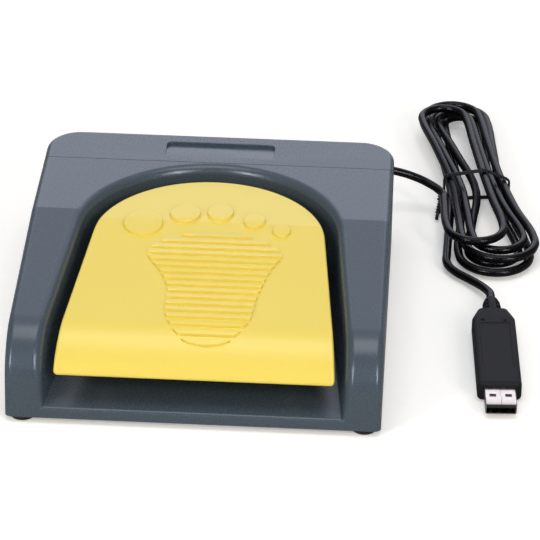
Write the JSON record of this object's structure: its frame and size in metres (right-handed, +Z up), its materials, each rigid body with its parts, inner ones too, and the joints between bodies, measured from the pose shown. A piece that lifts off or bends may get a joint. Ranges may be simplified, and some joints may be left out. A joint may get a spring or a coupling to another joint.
{
  "type": "usb foot pedal switch",
  "caption": "Low U-shaped foot switch: a hinged pedal with a raised bare footprint sits in a sloped housing, with a bundled cord and a USB plug.",
  "frame": {"origin": "on the table, under the middle of the housing's plan", "axes": "+X to the user's right, +Y to the back where the cord leaves, +Z up from the table"},
  "size_m": [0.2024, 0.2653, 0.0415],
  "materials": {
    "grey_moulding": "fine satin moulded plastic",
    "yellow_moulding": "satin moulded plastic",
    "black_moulding": "satin moulded plastic",
    "black_rubber": "soft dull rubber",
    "cord_jacket": "smooth soft jacket",
    "steel": "bright plated steel",
    "white_moulding": "plain moulded plastic",
    "gold_contact": "bright plating",
    "green_board": "lacquered laminate"
  },
  "bodies": {
    "housing": {"main_frame": "grey_moulding", "rear_cover": "grey_moulding", "base_plate": "grey_moulding", "switch_case": "black_moulding", "cable_clamp": "black_moulding", "plug_body": "black_moulding", "usb_tongue": "black_moulding", "controller_chip": "black_moulding", "rubber_feet": "black_rubber", "stop_pads": "black_rubber", "cord_grommet": "black_rubber", "cord_lead": "cord_jacket", "cord_hank": "cord_jacket", "cord_tail": "cord_jacket", "cord_tie": "cord_jacket", "base_screws": "steel", "cover_screws": "steel", "hinge_pin": "steel", "pin_clips": "steel", "return_spring": "steel", "switch_screws": "steel", "clamp_screws": "steel", "usb_shell": "steel", "switch_leads": "white_moulding", "switch_terminals": "gold_contact", "usb_contacts": "gold_contact", "plug_board": "green_board"},
    "pedal": {"pedal": "yellow_moulding"},
    "lever": {"switch_lever": "steel"},
    "plunger": {"switch_plunger": "white_moulding"}
  },
  "joints": [
    {"name": "pedal_press", "type": "hinge", "parent": "housing", "child": "pedal", "pos_m": [0, 0.028, 0.027], "axis": [1, 0, 0], "range_deg": [0, 4], "stiffness_Nm_per_rad": 4, "springref_deg": -6.88, "deforming": ["return_spring"]},
    {"name": "lever_turn", "type": "hinge", "parent": "housing", "child": "lever", "pos_m": [0.023, 0.012, 0.0261], "axis": [1, 0, 0], "range_deg": [0, 8.65]},
    {"name": "plunger_slide", "type": "slide", "parent": "housing", "child": "plunger", "axis": [0, 0, -1], "range_m": [0, 0.000757]}
  ],
  "couplings": [
    {"joint": "lever_turn", "follows": "pedal_press", "ratio": 2.1492},
    {"joint": "plunger_slide", "follows": "pedal_press", "m_per_rad": 0.010706}
  ]
}
